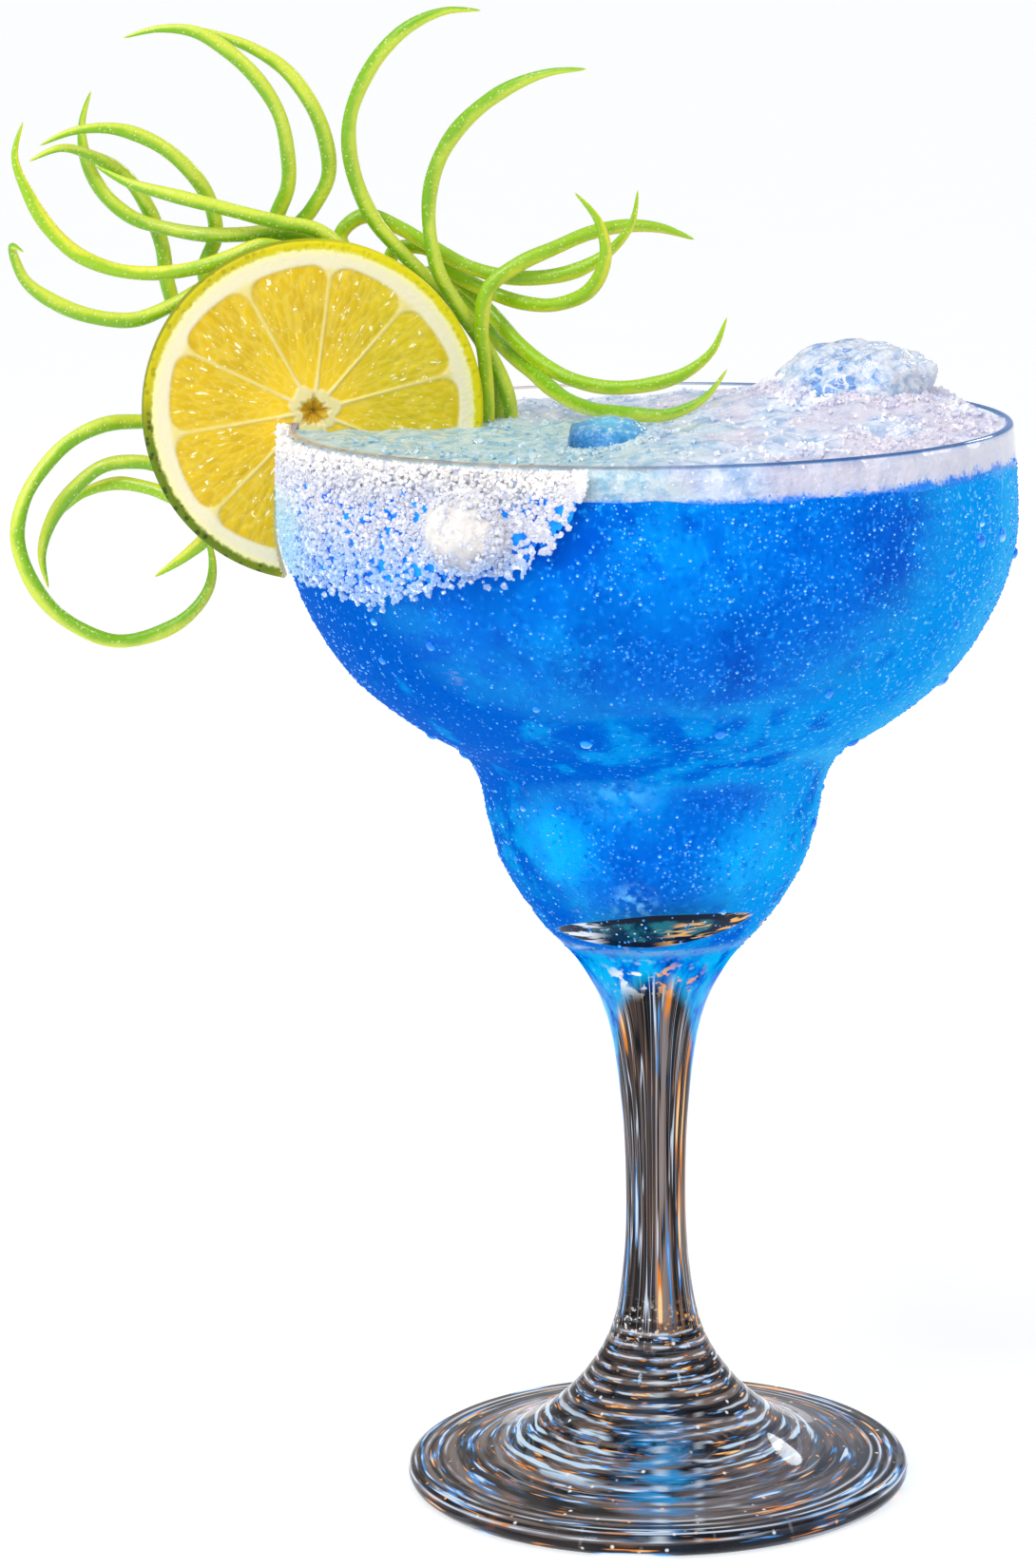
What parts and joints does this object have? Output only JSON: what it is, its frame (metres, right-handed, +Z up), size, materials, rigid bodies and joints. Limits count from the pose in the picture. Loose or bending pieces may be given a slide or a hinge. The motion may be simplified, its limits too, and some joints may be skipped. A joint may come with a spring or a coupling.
{
  "type": "frozen margarita",
  "caption": "Blue frozen margarita in a stemmed coupe, with crushed ice, a salted rim, a citrus wheel and curled zest strips.",
  "frame": {"origin": "centre of the foot, on the surface the glass stands on", "axes": "+Z up along the glass's axis, -Y towards the viewer of the picture, -X towards the citrus wheel"},
  "size_m": [0.1544, 0.1133, 0.2305],
  "materials": {
    "glass": "clear, polished",
    "drink": null,
    "ice": null,
    "blue_ice": null,
    "salt": null,
    "citrus": null,
    "zest_green": null,
    "zest_yellow": null
  },
  "bodies": {
    "root": {"glass": "glass", "drink": "drink", "ice_cap": "ice", "ice_lump_white": "ice", "ice_lump_blue": "blue_ice", "salt_crust": "salt", "salt_ball": "salt", "citrus_wheel": "citrus", "zest_top_arc_outer": "zest_green", "zest_top_arc_inner": "zest_green", "zest_left_upright": "zest_green", "zest_arch_outer": "zest_green", "zest_arch_inner": "zest_green", "zest_tall_left": "zest_green", "zest_tall_right": "zest_green", "zest_ring_outer": "zest_green", "zest_ring_middle": "zest_green", "zest_curled_tip": "zest_green", "zest_low_lower": "zest_green", "zest_left_diagonal": "zest_green", "zest_left_sweep": "zest_yellow", "zest_right_arch": "zest_yellow", "zest_right_sweep": "zest_yellow", "zest_right_hook": "zest_yellow", "zest_low_upper": "zest_yellow", "zest_ring_inner": "zest_yellow", "zest_spike": "zest_yellow"}
  },
  "joints": []
}
